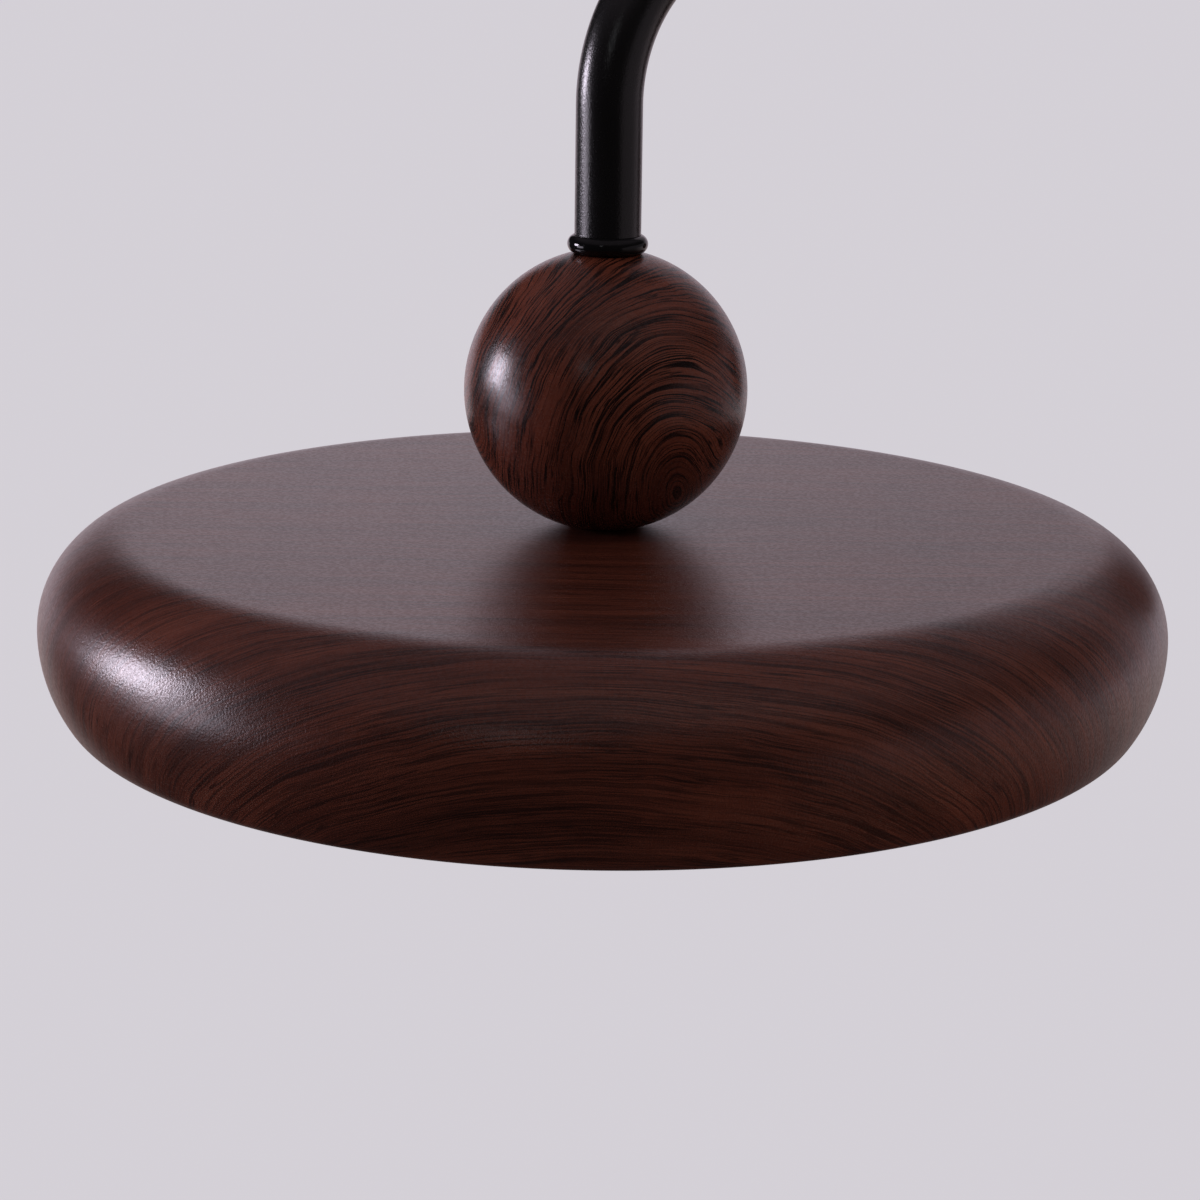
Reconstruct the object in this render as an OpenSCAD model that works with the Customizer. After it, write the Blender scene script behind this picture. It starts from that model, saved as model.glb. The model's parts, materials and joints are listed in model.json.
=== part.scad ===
// Swing-arm wall light: a round wall canopy with a push switch, a vertical swivel sleeve,
// a bent tube arm that swings in it, and a ball that carries a flat pebble-shaped shade.
// Millimetres. The wall is the plane Y = 0, the room is towards -Y, and +Z is up.
// The origin is the centre of the canopy on the wall.

/* [Shade] */
// Outside diameter of the shade
shade_d = 240; // [200:1:300]
// Height of the shade from its flat top to its lower rim
shade_h = 40; // [38:1:54]
// Sheet thickness of the shade
shade_wall = 1.2; // [0.8:0.1:1.6]
// Radius of the rim's lower flank
flank_r = 30; // [28:1:40]
// Radius of the heel, where the flank turns under
heel_r = 8; // [5:0.5:11]
// Width of the flat rim between the heel and the opening
rim_w = 2.5; // [1:0.5:5]
// Width of the inner seat that the diffuser is screwed to
seat_w = 9; // [7:0.5:14]

/* [Light source] */
// Thickness of the diffuser
diffuser_t = 2.5; // [2:0.1:3.5]
// Thickness of the retaining ring under the diffuser
ring_t = 1.2; // [0.8:0.1:1.6]
// How far the retaining ring lies inside the lower rim
ring_recess = 0.4; // [0.2:0.1:1]
// Gap between the diffuser and the light-emitting chips
led_gap = 9; // [6:0.5:10]
// Thickness of the chip board
board_t = 1.6; // [1:0.1:2]
// How far the chip board's edge lies inside the plate's edge
board_margin = 4; // [2:0.5:8]
// Thickness of the heat-spreading plate
plate_t = 1.5; // [1:0.1:2]
// Diameter of the heat-spreading plate
plate_d = 168; // [166:1:176]
// Length, width and height of the driver's case
driver_size = [64, 28, 14];

/* [Ball and collars] */
// Diameter of the ball
ball_d = 60; // [48:1:80]
// Sheet thickness of the ball
ball_wall = 1.5; // [1:0.1:2.5]
// Diameter of the small flats at the ball's poles
ball_flat_d = 14; // [12:0.5:18]
// Height of the bead collars
collar_h = 4; // [3:0.25:6]
// How far a bead collar stands proud of the tube
collar_proud = 1.5; // [1:0.25:3]
// How deep the tube stands in the collar on the ball
collar_socket = 2.5; // [1.5:0.25:2.75]

/* [Arm] */
// Outside diameter of the arm's tube
tube_d = 14; // [13:0.5:16]
// Wall thickness of the arm's tube
tube_wall = 1; // [0.8:0.1:1.2]
// Radius of the arm's bends, to the middle of the tube
bend_r = 36; // [24:1:50]
// Distance from the swing axis to the shade's axis
arm_reach = 240; // [200:5:320]
// Straight tube between the collar on the ball and the bend
front_leg = 27; // [15:1:60]
// Straight tube between the collar on the sleeve and the bend
wall_leg = 12; // [8:1:60]

/* [Swivel] */
// Distance from the wall to the swing axis
pivot_out = 52; // [50:1:70]
// Outside diameter of the swivel sleeve
sleeve_d = 26; // [25:0.5:32]
// Wall of the chamber in the lower part of the sleeve
sleeve_wall = 2.5; // [1.5:0.1:2.5]
// Depth of the chamber below the middle of the stub
chamber_drop = 13; // [11:0.5:20]
// Length of a swivel bush without its flange
bush_len = 10; // [8:0.5:14]
// Wall thickness of a swivel bush
bush_wall = 1.5; // [1:0.1:1.75]
// Thickness of a bush's flange
bush_flange_t = 1.5; // [1:0.1:2.5]
// How far the arm swings to each side
swing_limit = 70; // [30:1:75]
// Diameter of the stop screw's point
stop_d = 3; // [2:0.25:3.5]
// Diameter of the stub from the canopy to the sleeve
stub_d = 16; // [14:0.5:18]
// Diameter of the stub's foot on the canopy
foot_d = 25; // [24:0.5:30]
// Thickness of the stub's foot
foot_t = 3; // [2.5:0.1:4]

/* [Canopy and bracket] */
// Diameter of the wall canopy
canopy_d = 110; // [100:1:140]
// Depth of the wall canopy
canopy_depth = 26; // [25:0.5:32]
// Sheet thickness of the canopy
canopy_wall = 1.5; // [1:0.1:2]
// Radius of the canopy's rounded front edge
canopy_edge_r = 10; // [4:0.5:10]
// Sheet thickness of the wall bracket
bracket_t = 1.5; // [1:0.1:2.5]
// Width of the bracket's strap
strap_w = 22; // [20:0.5:24]
// Distance between the two wall screws
wall_screw_gap = 60; // [56:1:64]
// Width of the slots for the wall screws
wall_slot_w = 4.5; // [4:0.1:6]
// Length of the slots for the wall screws
wall_slot_l = 12; // [8:0.5:14]
// Diameter of the hole for the supply cable
cable_hole_d = 16; // [12:0.5:18]

/* [Switch] */
// Distance of the switch below the middle of the canopy
switch_drop = 32; // [30:0.5:33]
// Diameter of the switch's threaded body
switch_d = 12; // [11.5:0.25:13]
// Diameter of the switch's bezel
bezel_d = 16; // [15:0.5:18]
// Diameter of the push button
button_d = 8; // [7.5:0.25:8.25]
// How far the button stands out of the bezel
button_proud = 3; // [2.75:0.25:5]
// Travel of the button
button_travel = 2.5; // [1:0.25:2.5]

/* [Threaded pieces] */
// Outside diameter of the hollow threaded nipples
nipple_d = 10; // [9.5:0.25:10]
// Bore of the hollow threaded nipples
nipple_bore = 7.2; // [6.5:0.1:7.5]
// Width across the flats of the nipple nuts
nut_flats = 15; // [13.5:0.5:15]
// Thickness of the nipple nuts
nut_t = 5; // [3:0.5:5]
// Thickness of the plain washers
washer_t = 1; // [0.8:0.1:1.2]
// Diameter of the cable inside the arm
cable_d = 5; // [4:0.25:5.5]

/* [Hidden] */
$fn = 96;

// Clearances
fit_gap = 0.1;       // between pieces of one body that sit in one another, on the radius
run_gap = 0.05;      // running clearance of the arm's tube in its bushes, on the radius
thrust_gap = 0.1;    // between faces that turn on one another
drop_gap = 0.3;      // round the diffuser and its ring in the shade's opening
cut = 1;             // how far a cutting solid runs past the face that it cuts

// Colours
walnut = "#3b211c";
satin_black = "#161618";
gloss_black = "#0d0d10";
zinc = "#b9bcc0";
brass = "#b8944d";
nylon = "#e6e2d6";
opal = "#f2efe8";
white_lacquer = "#f4f4f0";
phosphor = "#e8c860";
grey_sheath = "#7d7f82";

// Shade: heights are measured from the flat top, down
half_h = shade_h / 2;
shade_r = shade_d / 2;
edge_r = half_h;
edge_c = shade_r - edge_r;
flank_c = shade_r - flank_r;
heel_reach = flank_r - heel_r + 0.05;
heel_sink = half_h - heel_r;
heel_c = flank_c + sqrt(heel_reach * heel_reach - heel_sink * heel_sink);
flank_drop = flank_r * heel_sink / heel_reach;
open_r = heel_c - rim_w;
seat_r = open_r - seat_w;
ring_z = -shade_h + ring_recess;
diffuser_z = ring_z + ring_t;
seat_z = diffuser_z + diffuser_t;
board_d = plate_d - 2 * board_margin;
chip_size = [3, 2.8, 0.8];
board_z = seat_z + led_gap + chip_size[2];
plate_z = board_z + board_t;
plate_top = plate_z + plate_t;

// Hanger inside the shade
strap_t = 1.5;
hanger_w = 20;
leg_x = 44;
foot_len = 15;
foot_hole_inset = 6;
foot_hole_x = leg_x + foot_len - foot_hole_inset;
lock_washer_d = 20;
hanger_nut_z = -shade_wall - strap_t - washer_t - nut_t;
hanger_end = hanger_nut_z - 2;
nipple_bush_t = 1;
nipple_bush_len = 6;
cable_bend_r = 8;
drop_bend_r = hanger_end - nipple_bush_t - plate_top - cable_d / 2 - 0.8;
driver_y = 24;
driver_inset = 3;
driver_lug = 6;

// Machine screws: shank diameter, head diameter and head height
m2 = [2, 3.6, 1.4];
m3 = [3, 5.5, 2];
m4 = [4, 7, 2.6];

// Arm: heights above the middle of the canopy
tube_bore = tube_d - 2 * tube_wall;
stud_end = nipple_d / 2 + 1.5;
pivot_nut_z = stud_end + 2;
spring_h = 1.4;
disc_spring_z = pivot_nut_z + nut_t;
pivot_washer_z = disc_spring_z + spring_h;
lower_flange_z = pivot_washer_z + washer_t + thrust_gap;
shoulder_z = lower_flange_z + bush_flange_t;
stop_zone = stop_d + 1;
stop_reach = 0.6;    // how far the stop's point stands inside the tube's bore
stop_point = tube_bore / 2 - stop_reach;
stop_z = shoulder_z + bush_len + stop_zone / 2;
sleeve_top = shoulder_z + 2 * bush_len + stop_zone;
swing_collar_z = sleeve_top + bush_flange_t + thrust_gap;
bend_z = swing_collar_z + collar_h + wall_leg;
arm_z = bend_z + bend_r;
tube_pivot_end = lower_flange_z + 0.5;
chamber_d = sleeve_d - 2 * sleeve_wall;
bush_d = tube_d + 2 * (run_gap + bush_wall);
bush_flange_d = chamber_d - 1;
pivot_plug_len = bush_len - 1;

// Ball end of the arm
ball_half = round(100 * sqrt(pow(ball_d / 2, 2) - pow(ball_flat_d / 2, 2))) / 100;
ball_collar_z = bend_z - front_leg - collar_h;
ball_z = ball_collar_z - ball_half;
shade_z = ball_z - ball_half;
tube_ball_end = ball_collar_z + collar_h - collar_socket;
insert_len = 14;
shade_out = pivot_out + arm_reach;

// Wall side: distances out from the wall
canopy_r = canopy_d / 2;
canopy_inside = canopy_depth - canopy_wall;
stub_washer_d = 22;
stub_end = canopy_inside - washer_t - nut_t - 1.5;
pin_d = 3;
pin_off = 4;         // pin's middle from the stub nipple's edge
pin_drop = nipple_d / 2 + pin_off;
lug_t = 1.5;
lug_w = 18;
lug_out = 13;
lug_x = sqrt(pow(canopy_r - canopy_wall, 2) - pow(lug_w / 2, 2)) - 0.4;
canopy_screw_out = 7;
cable_up_out = stub_end + 1 - cable_bend_r;
terminal_y = 19;
terminal_pitch = 10;
terminal_size = [3 * terminal_pitch, 18, 13];
terminal_dip = 3;
way_w = 0.6 * terminal_pitch;
well_d = 3.6;
well_inset = 5;
tab_t = 1.2;
tab_lap = 2.5;
tab_edge = 3;
tab_w = terminal_size[0] + 2 * tab_edge;
tab_low = strap_w / 2 - tab_lap;
tab_top = terminal_y + terminal_size[1] + tab_edge;
terminal_out = bracket_t + tab_t;
earth_x = 16;

// Switch: distances out from the wall
bezel_t = 2;
bezel_lip = 1;
tag_size = [0.8, 3, 5];
tag_gap = 5;
tag_out = terminal_out + terminal_size[2] / 2;
switch_back = tag_out + tag_size[2] / 2;
cavity_wider = 1.4;  // cavity past the button, on the diameter
cavity_d = button_d + cavity_wider;
switch_floor = 1.5;
cavity_floor = switch_back + switch_floor;
skirt_wider = 1;     // skirt past the button, on the diameter
skirt_d = button_d + skirt_wider;
skirt_guide = 0.5;   // skirt left in its guide when the button is pressed home
skirt_len = button_travel + skirt_guide;
skirt_top = canopy_depth + bezel_t - bezel_lip - thrust_gap;
button_bottom = skirt_top - skirt_len;
switch_nut_wider = 3;
switch_nut_flats = switch_d + switch_nut_wider;
switch_nut_t = 2.5;
spring_wire = 0.6;
spring_turns = 5;
lead_d = 1.6;

// Points in front of the wall: x to the right, y up, z out into the room
module on_wall() {
    rotate([90, 0, 0]) children();
}

module at_pivot() {
    translate([0, -pivot_out, 0]) children();
}

// Shade axis, with z = 0 at the shade's flat top
module at_shade() {
    translate([0, -shade_out, shade_z]) children();
}

// A disc or washer with a hole
module washer(outer, inner, height) {
    difference() {
        cylinder(h = height, d = outer);
        translate([0, 0, -cut]) cylinder(h = height + 2 * cut, d = inner);
    }
}

// A hexagon nut on a nipple or screw
module hex_nut(flats, bore, height) {
    difference() {
        cylinder(h = height, d = flats / cos(30), $fn = 6);
        translate([0, 0, -cut]) cylinder(h = height + 2 * cut, d = bore);
    }
}

// A pan-head screw: the head sits on z = 0 and the shank runs down
module pan_screw(screw, length) {
    difference() {
        union() {
            cylinder(h = screw[2], d = screw[1]);
            translate([0, 0, -length]) cylinder(h = length, d = screw[0]);
        }
        translate([-screw[1], -0.4, screw[2] * 0.55]) cube([2 * screw[1], 0.8, screw[2]]);
    }
}

// A ring with a half-round bead outside, standing on z = 0
module bead_collar(bore_low, bore_top, socket) {
    bead_r = collar_h / 2;
    rotate_extrude() difference() {
        union() {
            translate([tube_d / 2 + collar_proud - bead_r, bead_r]) circle(r = bead_r);
            square([tube_d / 2 + collar_proud - bead_r, collar_h]);
        }
        translate([0, -cut]) square([bore_low / 2, collar_h + 2 * cut]);
        translate([0, collar_h - socket]) square([bore_top / 2, socket + cut]);
    }
}

// A quarter bend that starts at the origin heading up and ends heading +Y
module quarter_bend(d, r) {
    translate([0, r, 0]) rotate([90, 0, -90]) rotate_extrude(angle = 90) translate([r, 0]) circle(d = d);
}

// A straight round run from the origin along +Y
module run_y(d, length) {
    rotate([-90, 0, 0]) cylinder(h = length, d = d);
}

// The arm's line as a solid of one diameter, from the swing axis over to the shade axis
module arm_run(d, wall_end, ball_end) {
    at_pivot() union() {
        translate([0, 0, wall_end]) cylinder(h = bend_z - wall_end, d = d);
        translate([0, 0, bend_z]) rotate([0, 0, 180]) quarter_bend(d, bend_r);
    }
    translate([0, -shade_out + bend_r, arm_z]) run_y(d, arm_reach - 2 * bend_r);
    translate([0, -shade_out, 0]) union() {
        translate([0, 0, bend_z]) quarter_bend(d, bend_r);
        translate([0, 0, ball_end]) cylinder(h = bend_z - ball_end, d = d);
    }
}

// Half section of the shade's outside, drawn in by inset, with the flat top at y = 0
module shade_outline(inset) {
    // Flat top and upper arc
    translate([0, -half_h]) square([edge_c, half_h - inset]);
    translate([edge_c, -half_h]) intersection() {
        circle(r = edge_r - inset);
        square([2 * edge_r, half_h - inset]);
    }
    // Lower flank, down to where the heel takes over
    translate([flank_c, -half_h]) intersection() {
        circle(r = flank_r - inset);
        translate([0, -flank_drop]) square([2 * flank_r, flank_drop]);
    }
    // Heel and everything between it and the axis
    translate([heel_c, -shade_h + heel_r]) circle(r = heel_r - inset);
    translate([0, -shade_h + inset]) square([heel_c, half_h - inset]);
}

// Half section of the shade's shell with its turned-up lip and the seat for the diffuser
module shade_section() {
    difference() {
        shade_outline(0);
        shade_outline(shade_wall);
        translate([0, -shade_h - cut]) square([open_r, half_h + cut]);
        translate([0, -half_h]) square([nipple_d / 2 + fit_gap, shade_h]);
    }
    translate([open_r, -shade_h]) square([shade_wall, seat_z + shade_wall + shade_h]);
    translate([seat_r, seat_z]) square([seat_w + shade_wall, shade_wall]);
}

// Three places round the seat for the ring's screws
module seat_screw_places() {
    for (a = [90, 210, 330]) rotate([0, 0, a]) translate([open_r - seat_w / 2, 0, 0]) children();
}

module wall_bracket() {
    color(zinc) on_wall() {
        difference() {
            union() {
                translate([-lug_x, -strap_w / 2, 0]) cube([2 * lug_x, strap_w, bracket_t]);
                for (side = [-1, 1]) {
                    translate([side * (lug_x - lug_t / 2) - lug_t / 2, -lug_w / 2, 0]) cube([lug_t, lug_w, lug_out]);
                }
            }
            translate([0, 0, -cut]) cylinder(h = bracket_t + 2 * cut, d = cable_hole_d);
            for (side = [-1, 1]) {
                translate([side * wall_screw_gap / 2, 0, -cut]) linear_extrude(bracket_t + 2 * cut) wall_slot();
                translate([side * lug_x, 0, canopy_screw_out]) rotate([0, 90, 0]) {
                    translate([0, 0, -2 * lug_t]) cylinder(h = 4 * lug_t, d = m4[0] + 2 * fit_gap);
                }
            }
            translate([earth_x, 0, -cut]) cylinder(h = bracket_t + 2 * cut, d = m4[0] + 2 * fit_gap);
        }
    }
}

// A plate spot-welded to the front of the strap, which carries the terminal block
module terminal_tab() {
    color(zinc) on_wall() translate([0, 0, bracket_t]) difference() {
        translate([-tab_w / 2, tab_low, 0]) cube([tab_w, tab_top - tab_low, tab_t]);
        terminal_screw_places() translate([0, 0, -cut]) cylinder(h = tab_t + 2 * cut, d = m2[0] + 2 * fit_gap);
    }
}

// The terminal block's fixing screws stand between its ways
module terminal_screw_places() {
    for (side = [-1, 1]) translate([side * terminal_pitch / 2, terminal_y + terminal_size[1] / 2, 0]) children();
}

// Outline of a slot for a wall screw
module wall_slot() {
    straight = wall_slot_l - wall_slot_w;
    square([straight, wall_slot_w], center = true);
    for (side = [-1, 1]) translate([side * straight / 2, 0]) circle(d = wall_slot_w);
}

module earth_screw() {
    color(brass) on_wall() translate([earth_x, 0, bracket_t]) pan_screw(m4, bracket_t);
}

// The places of the three ways, side by side
module terminal_ways() {
    for (i = [-1:1]) translate([i * terminal_pitch, terminal_y, 0]) children();
}

module terminal_block() {
    height = terminal_size[2];
    color(nylon) on_wall() translate([0, 0, terminal_out]) difference() {
        union() {
            translate([-terminal_size[0] / 2, terminal_y, 0]) {
                cube([terminal_size[0], terminal_size[1], height - terminal_dip]);
            }
            terminal_ways() translate([-way_w / 2, 0, 0]) cube([way_w, terminal_size[1], height]);
        }
        terminal_ways() {
            // Wire passage and the two screw wells above it
            translate([0, -cut, height / 2]) rotate([-90, 0, 0]) {
                cylinder(h = terminal_size[1] + 2 * cut, d = well_d);
            }
            for (y = [well_inset, terminal_size[1] - well_inset]) {
                translate([0, y, height / 2]) cylinder(h = height, d = well_d);
            }
        }
        terminal_screw_places() translate([0, 0, -cut]) cylinder(h = height + 2 * cut, d = m2[0] + 2 * fit_gap);
    }
}

module terminal_screws() {
    clamp_h = 3;
    clamp_slot = 0.6;
    reach = terminal_size[2] - terminal_dip + tab_t;
    color(brass) on_wall() {
        terminal_screw_places() translate([0, 0, bracket_t + reach]) pan_screw(m2, reach);
        terminal_ways() for (y = [well_inset, terminal_size[1] - well_inset]) {
            translate([0, y, terminal_out + terminal_size[2] / 2 + well_d / 2]) difference() {
                cylinder(h = clamp_h, d = well_d - 2 * fit_gap);
                translate([-well_d, -clamp_slot / 2, clamp_h - clamp_slot]) cube([2 * well_d, clamp_slot, cut]);
            }
        }
    }
}

module canopy_section(inset) {
    r = canopy_edge_r - inset;
    square([canopy_r - canopy_edge_r, canopy_depth - inset]);
    square([canopy_r - inset, canopy_depth - canopy_edge_r]);
    translate([canopy_r - canopy_edge_r, canopy_depth - canopy_edge_r]) intersection() {
        circle(r = r);
        square(r);
    }
}

module canopy() {
    color(walnut) on_wall() difference() {
        rotate_extrude() difference() {
            canopy_section(0);
            translate([0, -cut]) square([canopy_r - canopy_wall, cut + 0.5]);
            canopy_section(canopy_wall);
            square([nipple_d / 2 + fit_gap, canopy_depth + cut]);
        }
        translate([0, -pin_drop, canopy_inside - cut]) cylinder(h = canopy_wall + 2 * cut, d = pin_d + 2 * fit_gap);
        translate([0, -switch_drop, canopy_inside - cut]) cylinder(h = canopy_wall + 2 * cut, d = switch_d + 2 * fit_gap);
        for (side = [-1, 1]) translate([side * canopy_r, 0, canopy_screw_out]) {
            rotate([0, 90, 0]) translate([0, 0, -2 * canopy_wall - 1]) {
                cylinder(h = 4 * canopy_wall + 2, d = m4[0] + 2 * fit_gap);
            }
        }
    }
}

module canopy_screws() {
    color(satin_black) on_wall() for (side = [-1, 1]) {
        translate([side * (canopy_r + fit_gap), 0, canopy_screw_out]) rotate([0, side * 90, 0]) {
            pan_screw(m4, canopy_r - lug_x + lug_t + 1);
        }
    }
}

module stub_nipple() {
    length = pivot_out - chamber_d / 2 - 1 - stub_end;
    color(brass) on_wall() translate([0, 0, stub_end]) washer(nipple_d, nipple_bore, length);
}

module stub_washer() {
    color(zinc) on_wall() translate([0, 0, canopy_inside - washer_t]) {
        washer(stub_washer_d, nipple_d + 2 * fit_gap, washer_t);
    }
}

module stub_nut() {
    color(brass) on_wall() translate([0, 0, canopy_inside - washer_t - nut_t]) {
        hex_nut(nut_flats, nipple_d + 2 * fit_gap, nut_t);
    }
}

module locating_pin() {
    color(zinc) on_wall() translate([0, -pin_drop, canopy_inside]) {
        cylinder(h = canopy_wall + foot_t - 0.5, d = pin_d);
    }
}

module swivel_sleeve() {
    edge = 1;
    r = sleeve_d / 2;
    color(satin_black) difference() {
        union() {
            at_pivot() rotate_extrude() polygon([
                [0, -chamber_drop], [r, -chamber_drop], [r, sleeve_top - edge], [r - edge, sleeve_top],
                [0, sleeve_top]
            ]);
            on_wall() translate([0, 0, canopy_depth]) {
                cylinder(h = pivot_out - canopy_depth, d = stub_d);
                rotate_extrude() polygon([
                    [0, 0], [foot_d / 2, 0], [foot_d / 2, foot_t - edge], [foot_d / 2 - edge, foot_t],
                    [0, foot_t]
                ]);
            }
        }
        at_pivot() {
            translate([0, 0, -chamber_drop - cut]) cylinder(h = chamber_drop + cut + shoulder_z, d = chamber_d);
            translate([0, 0, shoulder_z - cut]) {
                cylinder(h = sleeve_top - shoulder_z + 2 * cut, d = bush_d + 2 * fit_gap);
            }
            translate([0, 0, stop_z]) rotate([90, 0, 0]) cylinder(h = sleeve_d, d = stop_d + 2 * fit_gap);
        }
        on_wall() {
            translate([0, 0, canopy_depth - cut]) {
                cylinder(h = pivot_out - canopy_depth, d = nipple_d + 2 * fit_gap);
            }
            translate([0, -pin_drop, canopy_depth - cut]) {
                cylinder(h = foot_t - 0.4 + cut, d = pin_d + 2 * fit_gap);
            }
        }
    }
}

// A flanged plastic bush: the flange lies on z = 0 and the barrel runs down from it
module flanged_bush() {
    bore = tube_d + 2 * run_gap;
    washer(bush_flange_d, bore, bush_flange_t);
    translate([0, 0, -bush_len]) washer(bush_d, bore, bush_len);
}

module upper_bush() {
    color(nylon) at_pivot() translate([0, 0, sleeve_top]) flanged_bush();
}

module lower_bush() {
    color(nylon) at_pivot() translate([0, 0, shoulder_z]) rotate([180, 0, 0]) flanged_bush();
}

module stop_screw() {
    sunk = 0.5;
    socket_depth = 2;
    length = sleeve_d / 2 - stop_point - sunk;
    color(zinc) at_pivot() translate([0, -stop_point, stop_z]) rotate([90, 0, 0]) difference() {
        cylinder(h = length, d = stop_d);
        translate([0, 0, length - socket_depth]) {
            cylinder(h = socket_depth + cut, d = stop_d * 0.55, $fn = 6);
        }
    }
}

module sleeve_cap() {
    r = sleeve_d / 2;
    cap_t = 3;
    spigot = 4;
    color(satin_black) at_pivot() translate([0, 0, -chamber_drop]) {
        cylinder(h = spigot, d = chamber_d - 2 * fit_gap);
        rotate_extrude() {
            translate([0, -cap_t]) square([r - cap_t, cap_t]);
            translate([r - cap_t, 0]) intersection() {
                circle(r = cap_t);
                translate([0, -cap_t]) square(cap_t);
            }
        }
    }
}

// The lamp's cable on the wall side: terminal block, stub and up into the swing axis
module base_cable() {
    color(grey_sheath) {
        translate([0, -cable_up_out, cable_bend_r]) {
            cylinder(h = terminal_y - fit_gap - cable_bend_r, d = cable_d);
            rotate([180, 0, 0]) quarter_bend(cable_d, cable_bend_r);
        }
        translate([0, -pivot_out + cable_bend_r, 0]) {
            run_y(cable_d, pivot_out - 2 * cable_bend_r - cable_up_out);
            translate([0, -cable_bend_r, cable_bend_r]) rotate([180, 0, 0]) rotate([0, 0, 180]) {
                quarter_bend(cable_d, cable_bend_r);
            }
        }
    }
}

module switch_body() {
    color(gloss_black) on_wall() translate([0, -switch_drop, 0]) {
        difference() {
            union() {
                translate([0, 0, switch_back]) cylinder(h = canopy_depth - switch_back, d = switch_d);
                translate([0, 0, canopy_depth]) rotate_extrude() {
                    square([bezel_d / 2 - bezel_t / 2, bezel_t]);
                    square([bezel_d / 2, bezel_t / 2]);
                    translate([bezel_d / 2 - bezel_t / 2, bezel_t / 2]) circle(d = bezel_t);
                }
            }
            translate([0, 0, cavity_floor]) {
                cylinder(h = canopy_depth + bezel_t - bezel_lip - cavity_floor, d = cavity_d);
            }
            translate([0, 0, canopy_depth]) cylinder(h = bezel_t + cut, d = button_d + 0.4);
        }
        for (side = [-1, 1]) {
            translate([side * tag_gap / 2 - tag_size[0] / 2, -tag_size[1] / 2, switch_back - tag_size[2]]) {
                cube(tag_size);
            }
        }
    }
}

module switch_nut() {
    color(zinc) on_wall() translate([0, -switch_drop, canopy_inside - switch_nut_t]) {
        hex_nut(switch_nut_flats, switch_d + 2 * fit_gap, switch_nut_t);
    }
}

module switch_button() {
    dome = 1;
    color(gloss_black) on_wall() translate([0, -switch_drop, 0]) {
        translate([0, 0, button_bottom]) cylinder(h = skirt_len, d = skirt_d);
        translate([0, 0, skirt_top]) rotate_extrude() {
            height = canopy_depth + bezel_t + button_proud - skirt_top;
            square([button_d / 2, height - dome]);
            square([button_d / 2 - dome, height]);
            translate([button_d / 2 - dome, height - dome]) circle(r = dome);
        }
    }
}

// Return spring under the button: one wire wound round the button's axis
module switch_spring() {
    sides = 6;
    steps = 12 * spring_turns;
    coil_r = cavity_d / 2 - spring_wire - 0.4;
    low = cavity_floor + spring_wire / 2 + thrust_gap;
    high = button_bottom - spring_wire / 2 - thrust_gap;
    points = [
        for (i = [0:steps], k = [0:sides - 1])
            let (turn = 360 * spring_turns * i / steps, side = 360 * k / sides)
            let (r = coil_r + spring_wire / 2 * cos(side))
            [r * cos(turn), r * sin(turn), low + (high - low) * i / steps + spring_wire / 2 * sin(side)]
    ];
    wall = [
        for (i = [0:steps - 1], k = [0:sides - 1])
            let (a = i * sides + k, b = i * sides + (k + 1) % sides)
            each [[a, b, b + sides], [a, b + sides, a + sides]]
    ];
    first = [for (k = [1:sides - 2]) [0, k + 1, k]];
    last = [for (k = [1:sides - 2]) [steps * sides, steps * sides + k, steps * sides + k + 1]];
    echo(switch_spring_gap = (high - low) / spring_turns - spring_wire);
    color(zinc) on_wall() translate([0, -switch_drop, 0]) {
        polyhedron(points, concat(wall, first, last));
    }
}

// Two insulated leads: sideways off the switch's tags, then up to the outer ways of the terminal block
module switch_leads() {
    lead_bend = 4;
    start = tag_gap / 2 + tag_size[0] / 2 + fit_gap;
    color(grey_sheath) for (side = [-1, 1]) translate([side * terminal_pitch, -tag_out, -switch_drop]) {
        translate([0, 0, lead_bend]) {
            cylinder(h = terminal_y - fit_gap + switch_drop - lead_bend, d = lead_d);
            rotate([180, 0, 0]) rotate([0, 0, side * 90]) quarter_bend(lead_d, lead_bend);
        }
        translate([-side * lead_bend, 0, 0]) rotate([0, -side * 90, 0]) {
            cylinder(h = terminal_pitch - lead_bend - start, d = lead_d);
        }
    }
}

module arm_tube() {
    slot_half = swing_limit + asin((stop_d / 2 + fit_gap) / stop_point) + 1;
    slot_h = stop_d + 4 * fit_gap;
    color(satin_black) difference() {
        arm_run(tube_d, tube_pivot_end, tube_ball_end);
        arm_run(tube_bore, tube_pivot_end - cut, tube_ball_end - cut);
        at_pivot() translate([0, 0, stop_z - slot_h / 2]) rotate([0, 0, -90 - slot_half]) {
            rotate_extrude(angle = 2 * slot_half) {
                translate([tube_bore / 2 - cut, 0]) square([tube_wall + 2 * cut, slot_h]);
            }
        }
    }
}

module pivot_plug() {
    color(brass) at_pivot() difference() {
        union() {
            translate([0, 0, stud_end]) cylinder(h = tube_pivot_end - stud_end + 1, d = nipple_d);
            translate([0, 0, tube_pivot_end]) cylinder(h = pivot_plug_len, d = tube_bore - 2 * fit_gap);
        }
        translate([0, 0, stud_end - cut]) cylinder(h = pivot_plug_len + tube_pivot_end - stud_end + 2 * cut, d = nipple_bore);
    }
}

module swing_collar() {
    bore = tube_d + 2 * fit_gap;
    color(gloss_black) at_pivot() translate([0, 0, swing_collar_z]) bead_collar(bore, bore, collar_h / 2);
}

module pivot_washer() {
    color(zinc) at_pivot() translate([0, 0, pivot_washer_z]) {
        washer(bush_flange_d - 1, nipple_d + 2 * fit_gap, washer_t);
    }
}

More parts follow.
